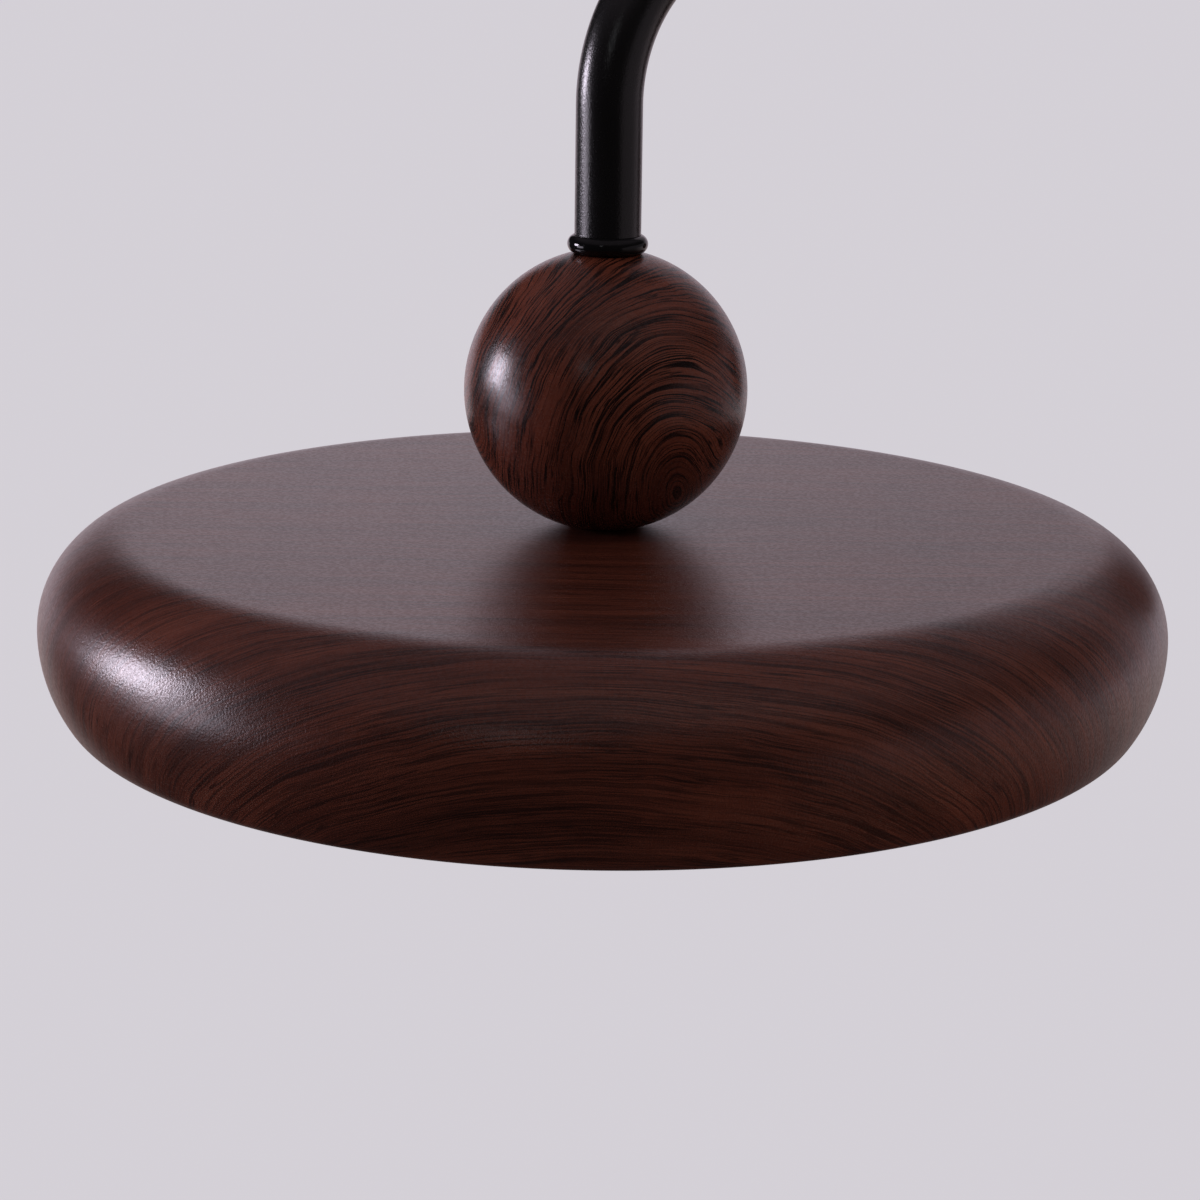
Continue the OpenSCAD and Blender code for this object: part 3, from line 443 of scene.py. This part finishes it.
finishes = {plan["slot"]: plainSkin(name, plan) for name, plan in skinPlan.items()}
finishes.update({
    "walnut_print": walnutFilm("walnutFilm", shadeFilmPlan),
    "gloss_black": glossBlack(glossPlan),
    "zinc_steel": zincSteel(zincPlan),
    "brass_thread": turnedBrass("brassUpright", 2, brassPlan),
    "plate_aluminium": plateAluminium(platePlan),
    "board_white": boardWhite(boardPlan),
    "opal_acrylic": opalAcrylic(opalPlan),
})
brassLevel = turnedBrass("brassLevel", 1, brassPlan)
levelThreads = ("stub_nipple", "stub_nut", "earth_screw")
ballFilm = walnutFilm("ballFilm", ballFilmPlan)
slotOf = {part["node"]: part["material_slot"] for part in frame["record"]["subparts"]}
for nodeName, node in frame["nodes"].items():
    node.data.materials.clear()
    node.data.materials.append(brassLevel if nodeName in levelThreads else finishes[slotOf[nodeName]])
print("finishes made:", len(finishes))


def gridMesh(name, points, closeU=False, closeV=False):
    # points[u, v, 3] become one quad grid, closed along u or v where asked; faces point along du x dv
    nu, nv = points.shape[:2]
    index = np.arange(nu * nv).reshape(nu, nv)
    if closeU:
        index = np.concatenate([index, index[:1]], axis=0)
    if closeV:
        index = np.concatenate([index, index[:, :1]], axis=1)
    quads = np.stack([index[:-1, :-1], index[1:, :-1], index[1:, 1:], index[:-1, 1:]], axis=-1)
    mesh = bpy.data.meshes.new(name)
    mesh.from_pydata(points.reshape(-1, 3), [], quads.reshape(-1, 4))
    smooth(mesh)
    mesh.update()
    return mesh


def smooth(mesh):
    mesh.polygons.foreach_set("use_smooth", np.ones(len(mesh.polygons), dtype=bool))


def lathe(profile, centre, turns):
    # profile rows (radius, height) swept round the upright axis through centre; grid [profile, turn]
    angle = np.linspace(0, 2 * np.pi, turns, endpoint=False)
    r, z = profile[:, :1], profile[:, 1:]
    return np.stack([centre[0] + r * np.cos(angle), centre[1] + r * np.sin(angle), z + 0 * angle], axis=-1)


def arc(cx, cy, r, first, last, steps):
    # points of a circle's arc between two directions in degrees
    t = np.radians(np.linspace(first, last, steps))
    return np.stack([cx + r * np.cos(t), cy + r * np.sin(t)], axis=-1)


def pathLength(profile):
    # distance of each point from the first, along the path
    return np.concatenate([[0], np.cumsum(np.linalg.norm(np.diff(profile, axis=0), axis=1))])


def setGrain(mesh, metres):
    # the film counts its grain in decimetres
    layer = mesh.attributes.new("grain", "FLOAT_VECTOR", "POINT")
    layer.data.foreach_set("vector", (10.0 * metres).astype(np.float32).reshape(-1))


def addPiece(name, mesh, body, slotName, finish, *nodes):
    piece = bpy.data.objects.new(name, mesh)
    scene.collection.objects.link(piece)
    mesh.materials.append(finish)
    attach(piece, body)
    if nodes:
        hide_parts(*nodes)
    return piece


shadePlan = {
    "radius": 0.120, "height": 0.040, "wall": 0.0012, "flank": 0.030, "heel": 0.008,
    "rim": 0.0025, "seat": 0.009, "hole": 0.0051,
    "seatDepth": 0.0359,       # underside of the seat below the flat top
    "topSteps": 40, "edgeSteps": 40, "flankSteps": 20, "heelSteps": 24, "turns": 288,
}


def shadeProfile(plan, inset):
    # flat top, quarter round, lower flank and heel, as one run of points from the axis outwards and down
    half = plan["height"] / 2
    flatR = np.linspace(plan["hole"], plan["radius"] - half, plan["topSteps"])
    top = np.stack([flatR, np.full(len(flatR), -inset)], axis=-1)
    edge = arc(plan["radius"] - half, -half, half - inset, 90, 0, plan["edgeSteps"])
    flankC = plan["radius"] - plan["flank"]
    reach, sink = plan["flank"] - plan["heel"], half - plan["heel"]
    heelC = flankC + math.sqrt(reach ** 2 - sink ** 2)
    turn = math.degrees(math.asin(sink / reach))
    flank = arc(flankC, -half, plan["flank"] - inset, 0, -turn, plan["flankSteps"])
    heel = arc(heelC, plan["heel"] - plan["height"], plan["heel"] - inset, -turn, -90, plan["heelSteps"])
    return np.concatenate([top, edge[1:], flank[1:], heel[1:]]), heelC


def makeShade(plan):
    # the outer section, the lip with the diffuser's seat and the inner section, turned as one closed loop
    outer, heelC = shadeProfile(plan, 0.0)
    inner, _ = shadeProfile(plan, plan["wall"])
    openR = heelC - plan["rim"]
    w, low = plan["wall"], -plan["height"]
    seatTop = -plan["seatDepth"] + w
    lip = np.array([
        [openR, low], [openR, -plan["seatDepth"]], [openR - plan["seat"], -plan["seatDepth"]],
        [openR - plan["seat"], seatTop], [openR + w, seatTop], [openR + w, low + w],
    ])
    profile = np.concatenate([outer, lip, inner[::-1]])
    profile[:, 1] += shadeTop
    mesh = gridMesh("shadeShell", lathe(profile, shadeAxis, plan["turns"]), closeU=True, closeV=True)
    # the film is draped from the middle of the top: distance along the section, in the point's direction
    run = pathLength(profile)[:, None]
    angle = np.linspace(0, 2 * np.pi, plan["turns"], endpoint=False)
    flatX, flatY = run * np.cos(angle), run * np.sin(angle)
    along = flatX * camRight[0] + flatY * camRight[1]
    across = -flatX * camRight[1] + flatY * camRight[0]
    setGrain(mesh, np.stack([across, along, 0 * along], axis=-1))
    return addPiece("shadeShell", mesh, "arm", "walnut_print", finishes["walnut_print"], "shade")


makeShade(shadePlan)

ballPlan = {
    "diameter": 0.060, "wall": 0.0015, "flat": 0.007, "hole": 0.0051, "rows": 120, "turns": 200,
    "heart": (0.50, -0.72),        # middle of the arches, in radii to the camera's right and up
    "lean": 4.0, "stretch": 1.4,   # the arches' tilt in degrees, and how tall they are
    "pace": 2.2,                   # how fast the print changes along its lines
}


def makeBall(plan):
    # a sphere with a small flat at each pole, bored through and hollow, turned as one closed loop
    r = plan["diameter"] / 2
    centre = (np.array(ballLow) + np.array(ballHigh)) / 2
    end = math.degrees(math.asin(plan["flat"] / r))
    side = arc(0.0, 0.0, r, 90 - end, end - 90, plan["rows"])
    inR = r - plan["wall"]
    inEnd = math.degrees(math.asin(plan["hole"] / inR))
    hollow = arc(0.0, 0.0, inR, inEnd - 90, 90 - inEnd, plan["rows"] // 2)
    topEdge, lowEdge = [[plan["hole"], side[0, 1]]], [[plan["hole"], side[-1, 1]]]
    profile = np.concatenate([topEdge, side, lowEdge, hollow])
    profile[:, 1] += centre[2]
    points = lathe(profile, centre, plan["turns"])
    mesh = gridMesh("ballShell", points, closeU=True, closeV=True)
    # arches as in turned wood: distance from a heart line that runs away from the camera, the tall way shrunk
    local = (points - centre).reshape(-1, 3)
    u = local @ camRight - plan["heart"][0] * r
    v = local @ camUp - plan["heart"][1] * r
    t = math.radians(plan["lean"])
    wide, tall = u * math.cos(t) - v * math.sin(t), u * math.sin(t) + v * math.cos(t)
    rings = np.hypot(wide, tall / plan["stretch"])
    setGrain(mesh, np.stack([rings, tall * plan["pace"], local @ camBack * plan["pace"]], axis=-1))
    return addPiece("ballShell", mesh, "arm", "walnut_print", ballFilm, "ball")


makeBall(ballPlan)
print("shade and ball made")

armPlan = {
    "diameter": 0.014, "wall": 0.001, "bend": 0.036, "sides": 64,
    "socket": 0.0025,     # how deep the tube sits in the ball's collar
    "slotRoom": 0.0002,   # room above and below the stop's point
    "bendSteps": 40, "spanSteps": 30, "dropSteps": 12,
    "riseSteps": (4, 3, 9),   # below the slot, beside it and above it
    "sharp": 40.0,
}


def armPath(plan, pivotEnd, slot, ballEnd):
    # up from the swing axis, quarter turn, straight out, quarter turn, down to the ball's collar
    low, high = (np.array(c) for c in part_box("arm_tube"))
    r, tubeR = plan["bend"], plan["diameter"] / 2
    pivotY, frontY, armZ = float(high[1]) - tubeR, float(low[1]) + tubeR, float(high[2]) - tubeR
    bendZ = armZ - r
    t = np.radians(np.linspace(0, 90, plan["bendSteps"]))
    below, beside, above = plan["riseSteps"]
    up = np.concatenate([np.linspace(pivotEnd, slot[0], below)[:-1], np.linspace(slot[0], slot[1], beside)[:-1],
                         np.linspace(slot[1], bendZ, above)])
    down = np.linspace(bendZ, ballEnd, plan["dropSteps"])
    rise = np.stack([np.full(len(up), pivotY), up], axis=-1)
    first = np.stack([pivotY - r + r * np.cos(t), bendZ + r * np.sin(t)], axis=-1)
    second = np.stack([frontY + r - r * np.sin(t), bendZ + r * np.cos(t)], axis=-1)
    drop = np.stack([np.full(len(down), frontY), down], axis=-1)
    out = np.linspace(first[-1, 0], second[0, 0], plan["spanSteps"])
    span = np.stack([out, np.full(len(out), armZ)], axis=-1)
    return np.concatenate([rise[:-1], first, span[1:-1], second, drop[1:]])


def makeArm(plan):
    # rings square to the path, the outer wall one way and the inner wall back, closed both ways
    stopLow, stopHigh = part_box("stop_screw")
    slot = (float(stopLow[2]) - plan["slotRoom"], float(stopHigh[2]) + plan["slotRoom"])
    pivotEnd = float(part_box("arm_tube")[0][2])
    ballEnd = float(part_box("ball_collar")[1][2]) - plan["socket"]
    path = armPath(plan, pivotEnd, slot, ballEnd)
    ahead = np.gradient(path, axis=0)
    ahead /= np.linalg.norm(ahead, axis=1, keepdims=True)
    normal = np.stack([-ahead[:, 1], ahead[:, 0]], axis=-1)
    angle = np.linspace(0, 2 * np.pi, plan["sides"], endpoint=False)

    def ring(r):
        y = path[:, :1] + r * normal[:, :1] * np.cos(angle)
        z = path[:, 1:] + r * normal[:, 1:] * np.cos(angle)
        return np.stack([r * np.sin(angle) + 0 * y, y, z], axis=-1)

    outer, inner = ring(plan["diameter"] / 2), ring(plan["diameter"] / 2 - plan["wall"])
    mesh = gridMesh("armTube", np.concatenate([outer, inner[::-1]]), closeU=True, closeV=True)
    # the stop's slot: the front half of the wall between two rows is left out and its edges are joined
    pivotY = path[0, 0]

    def inSlot(face):
        middle = face.calc_center_median()
        return slot[0] < middle.z < slot[1] and pivotY - plan["diameter"] < middle.y < pivotY

    bm = bmesh.new()
    bm.from_mesh(mesh)
    bmesh.ops.delete(bm, geom=[f for f in bm.faces if inSlot(f)], context="FACES")
    bmesh.ops.bridge_loops(bm, edges=[e for e in bm.edges if e.is_boundary])
    bmesh.ops.recalc_face_normals(bm, faces=bm.faces)
    bm.to_mesh(mesh)
    bm.free()
    smooth(mesh)
    mesh.set_sharp_from_angle(angle=math.radians(plan["sharp"]))
    return addPiece("armTube", mesh, "arm", "satin_black", finishes["satin_black"], "arm_tube")


makeArm(armPlan)

collarPlan = {
    "radius": 0.0085, "bead": 0.002, "tubeBore": 0.0071, "nippleBore": 0.0051,
    "socket": armPlan["socket"], "steps": 40, "turns": 96,
}


def makeCollar(name, node, stepped, plan):
    # half-round bead round the node's own axis, bored for the tube;
    # a stepped one has a narrower bore below the tube's end
    low, high = (np.array(c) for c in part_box(node))
    middle = (low + high) / 2
    b, core = plan["bead"], plan["radius"] - plan["bead"]
    start = math.degrees(math.acos((plan["tubeBore"] - core) / b))
    profile = arc(core, middle[2], b, start, -90 if stepped else -start, plan["steps"])
    if stepped:
        step = middle[2] + b - plan["socket"]
        inside = [[plan["nippleBore"], middle[2] - b], [plan["nippleBore"], step], [plan["tubeBore"], step]]
        profile = np.concatenate([profile, inside])
    mesh = gridMesh(name, lathe(profile, middle, plan["turns"]), closeU=True, closeV=True)
    return addPiece(name, mesh, "arm", "gloss_black", finishes["gloss_black"], node)


makeCollar("ballCollar", "ball_collar", True, collarPlan)
makeCollar("swingCollar", "swing_collar", False, collarPlan)
print("arm and collars made")

# rigid pieces: a merged copy of the solid, and the width of its rounded edge in metres
edgePlan = {
    "canopy": 0.0, "swivel_sleeve": 0.0005, "sleeve_cap": 0.0005, "canopy_screws": 0.0002,
    "switch_body": 0.0004, "switch_button": 0.0005, "retaining_ring": 0.0002, "ring_screws": 0.0002,
    "upper_bush": 0.0002,
}
copyPlan = {
    "merge": 1e-6,                    # points nearer than this become one
    "flat": 0.6, "sharp": 32.0,       # degrees: faces joined as one, and edges shaded as sharp
    "edgeFrom": 40.0, "segments": 3,  # rounded edges: least angle, and faces across
}


def edgedCopy(name, node, width, finish, plan):
    source = frame["nodes"][node]
    bm = bmesh.new()
    bm.from_mesh(source.data)
    bmesh.ops.remove_doubles(bm, verts=bm.verts, dist=plan["merge"])
    bmesh.ops.dissolve_limit(bm, angle_limit=math.radians(plan["flat"]), verts=bm.verts, edges=bm.edges)
    mesh = bpy.data.meshes.new(name)
    bm.to_mesh(mesh)
    bm.free()
    smooth(mesh)
    mesh.set_sharp_from_angle(angle=math.radians(plan["sharp"]))
    piece = addPiece(name, mesh, source["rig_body"], slotOf[node], finish, node)
    if width:
        bevel = piece.modifiers.new("edge", "BEVEL")
        bevel.width, bevel.segments, bevel.limit_method = width, plan["segments"], "ANGLE"
        bevel.angle_limit = math.radians(plan["edgeFrom"])
        bevel.harden_normals = True
    return piece


for nodeName, width in edgePlan.items():
    first, *rest = nodeName.split("_")
    pieceName = first + "".join(word.title() for word in rest) + "Piece"
    edgedCopy(pieceName, nodeName, width, finishes[slotOf[nodeName]], copyPlan)

canopyPlan = {
    "leastRadius": 1e-6,     # keeps the drape's division safe on the axis
    "inward": 0.3,           # cosine past which a face counts as facing the axis or the wall
    "rimDepth": 0.0003,      # the rim on the wall keeps the film
}


def drapeCanopy(piece, plan):
    # the film runs level over the front and folds back over the side:
    # distance from the axis plus depth behind the front
    mesh = piece.data
    points = np.empty(len(mesh.vertices) * 3, dtype=np.float32)
    mesh.vertices.foreach_get("co", points)
    points = points.reshape(-1, 3)
    q = np.hypot(points[:, 0], points[:, 2])
    run = (q + points[:, 1] - points[:, 1].min()) / np.maximum(q, plan["leastRadius"])
    setGrain(mesh, np.stack([points[:, 2] * run, points[:, 0] * run, 0 * q], axis=-1))
    # the inside, which faces the wall or the axis, has no film
    count = len(mesh.polygons)
    facing, middle = np.empty(count * 3, dtype=np.float32), np.empty(count * 3, dtype=np.float32)
    mesh.polygons.foreach_get("normal", facing)
    mesh.polygons.foreach_get("center", middle)
    facing, middle = facing.reshape(-1, 3), middle.reshape(-1, 3)
    radial = (facing * middle)[:, [0, 2]].sum(axis=1)
    toAxis = radial < -plan["inward"] * np.hypot(middle[:, 0], middle[:, 2])
    toWall = facing[:, 1] > plan["inward"]
    inside = (toAxis | toWall) & (middle[:, 1] < points[:, 1].max() - plan["rimDepth"])
    mesh.materials.append(finishes["satin_black"])
    mesh.polygons.foreach_set("material_index", inside.astype(np.int32))


drapeCanopy(bpy.data.objects["canopyPiece"], canopyPlan)
print("rigid pieces edged:", len(edgePlan))

# the switch's return spring
springPlan = {"wire": 0.0006, "turns": 5, "steps": 48, "sides": 12, "press": 0.0025}


def makeSpring(plan):
    # round wire along a helix about the button's axis, from the wall side to the button
    low, high = (np.array(c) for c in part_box("switch_spring"))
    middle, r = (low + high) / 2, plan["wire"] / 2
    turn = np.linspace(0, 2 * np.pi * plan["turns"], plan["steps"] * plan["turns"] + 1)[:, None]
    side = np.linspace(0, 2 * np.pi, plan["sides"], endpoint=False)
    reach = (high[0] - low[0]) / 2 - r + r * np.cos(side)
    depth = np.linspace(high[1] - r, low[1] + r, len(turn))[:, None] - r * np.sin(side)
    points = np.stack([middle[0] + reach * np.cos(turn), depth, middle[2] + reach * np.sin(turn)], axis=-1)
    mesh = gridMesh("switchSpring", points, closeV=True)
    bm = bmesh.new()
    bm.from_mesh(mesh)
    bmesh.ops.holes_fill(bm, edges=bm.edges)  # the wire's two cut ends
    bmesh.ops.recalc_face_normals(bm, faces=bm.faces)
    bm.to_mesh(mesh)
    bm.free()
    piece = addPiece("switchSpring", mesh, "wall_base", "zinc_steel", finishes["zinc_steel"], "switch_spring")
    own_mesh(piece)


makeSpring(springPlan)
print("spring made")

stagePlan = {
    "floorDrop": 1.65, "floorSize": 24.0, "floorCells": 4,
    "floorPaint": rgb(0.16, 0.155, 0.16), "floorRoughness": 0.9,
    "floorPale": rgb(0.69825, 0.66885, 0.71715),  # the floor for the camera, a little over the backdrop
    "floorGlow": 0.94,                      # share of that pale, the rest takes the shadow
    "pale": rgb(0.665, 0.637, 0.683),       # backdrop for the camera
    "mirror": rgb(0.790, 0.675, 0.765),     # wall side in reflections
    "warm": rgb(0.74, 0.60, 0.60),          # its lower part in reflections
    "dusk": rgb(0.016, 0.013, 0.014),       # room in front, in reflections
    "ceiling": rgb(0.120, 0.100, 0.115),    # overhead, in reflections
    "front": rgb(0.055, 0.053, 0.053),      # room in front, for soft light
    "wall": rgb(0.62, 0.60, 0.62),          # wall side, for soft light
    "above": rgb(0.29, 0.28, 0.28),         # ceiling, for soft light
}


def mirrorRoom(plan, x, y, z):
    # what a reflection sees along a direction: a pale wall side that ends overhead and underfoot
    # and dims to the left and right, and a dark room in front
    wallSide = (y - 0.42 * z.band(-0.05, 0.22)).band(-0.08, 0.10)
    fade = 0.25 * x.band(-0.90, -0.60) + 0.52 * (x - 0.55 + 0.55 * z.band(-0.15, 0.05)).band(-0.65, 0.25)
    reach = (1.0 - z.band(0.58, 0.70)) * z.band(-0.75, -0.15) * (0.95 - fade - 0.20 * z.band(0.18, 0.27))
    paint = z.band(-0.40, -0.02).mix(plan["warm"], plan["mirror"])
    return (wallSide * reach).mix(z.band(0.40, 0.80).mix(plan["dusk"], plan["ceiling"]), paint)


def makeStage(plan):
    # a level floor far below, pale for the camera and part of the mirror room for reflections
    edge = np.linspace(-plan["floorSize"], plan["floorSize"], plan["floorCells"] + 1)
    x, y = np.meshgrid(edge, edge, indexing="ij")
    mesh = gridMesh("floor", np.stack([x, y, np.full_like(x, -plan["floorDrop"])], axis=-1))
    floor = bpy.data.objects.new("floor", mesh)
    scene.collection.objects.link(floor)
    mat, start, shader = newFinish("floorPaint", Base_Color=plan["floorPaint"],
                                   Roughness=plan["floorRoughness"])
    path = start.add("ShaderNodeLightPath", None, None, "Is Camera Ray")
    shown = path.maths("MAXIMUM", path, path.other("Is Transmission Ray"))
    way = start.add("ShaderNodeVectorMath", {"operation": "NORMALIZE"}, {0: start.point()}, "Vector")
    seen = shown.mix(mirrorRoom(plan, *way.split()), plan["floorPale"])
    plain = start.add("ShaderNodeEmission", None, {"Color": seen, "Strength": 1.0})
    part = shown.maths("MAXIMUM", shown * plan["floorGlow"], path.other("Is Glossy Ray"))
    painted = Wire(start.tree, shader.outputs[0])
    both = start.add("ShaderNodeMixShader", None, {0: part, 1: painted, 2: plain})
    start.tree.links.new(both.socket, start.tree.nodes["Material Output"].inputs["Surface"])
    mesh.materials.append(mat)


def makeWorld(plan):
    # pale for the camera, the mirror room for reflections, a soft room for the rest
    world = bpy.data.worlds.new("studio")
    world.use_nodes = True
    scene.world = world
    world.node_tree.nodes.clear()
    start = Wire(world.node_tree)
    path = start.add("ShaderNodeLightPath", None, None, "Is Camera Ray")
    shown = path.maths("MAXIMUM", path, path.other("Is Transmission Ray"))
    x, y, z = start.add("ShaderNodeTexCoord", None, None, "Generated").split()
    sides = y.band(-0.2, 0.4).mix(plan["front"], plan["wall"])
    soft = z.band(0.2, 0.9).mix(sides, plan["above"])
    mirrored = mirrorRoom(plan, x, y, z)
    colour = shown.mix(path.other("Is Glossy Ray").mix(soft, mirrored), plan["pale"])
    back = start.add("ShaderNodeBackground", None, {"Color": colour, "Strength": 1.0})
    out = world.node_tree.nodes.new("ShaderNodeOutputWorld")
    world.node_tree.links.new(back.socket, out.inputs["Surface"])


lampPlan = {
    # direction as right, up and back of the camera; distance; width and height; watts; tint; seen in gloss
    "leftWindow": ((-0.99, 0.18, -0.13), 1.6, (0.44, 0.40), 10.2, (0.935, 0.85, 1.0), True),
    "windowTail": ((-0.99, -0.09, 0.05), 1.6, (0.62, 0.44), 2.5, (0.935, 0.85, 1.0), True),
    "leftFill": ((-0.84, -0.25, -0.48), 1.6, (1.20, 1.20), 9.6, (1.0, 0.84, 0.74), False),
    "topFill": ((0.20, 0.72, 0.66), 1.6, (1.10, 0.90), 3.7, (1.0, 0.86, 0.76), False),
    "frontGlow": ((-0.28, 0.26, 0.92), 2.0, (0.28, 0.28), 0.25, (0.94, 0.95, 1.0), True),
    "wallBounce": ((0.74, -0.64, 0.02), 1.6, (1.30, 1.10), 6.6, (1.0, 0.80, 0.64), False),
}


def softBox(name, direction, distance, size, power, tint, inGloss):
    # a rectangle of light that looks at the shade's middle
    way = camRight * direction[0] + camUp * direction[1] + camBack * direction[2]
    way /= np.linalg.norm(way)
    side = np.cross([0.0, 0.0, 1.0], way)
    side /= np.linalg.norm(side)
    data = bpy.data.lights.new(name, "AREA")
    data.shape = "RECTANGLE"
    data.size, data.size_y = size
    data.energy = power
    data.color = tint
    lamp = bpy.data.objects.new(name, data)
    place = np.eye(4)
    place[:3, 0], place[:3, 1], place[:3, 2] = side, np.cross(way, side), way
    place[:3, 3] = np.array([*shadeAxis, shadeTop]) + way * distance
    lamp.matrix_world = Matrix(place.tolist())
    lamp.visible_camera, lamp.visible_glossy = False, inGloss
    scene.collection.objects.link(lamp)


makeStage(stagePlan)
makeWorld(stagePlan)
for lampName, settings in lampPlan.items():
    softBox(lampName, *settings)
print("stage and lamps made")
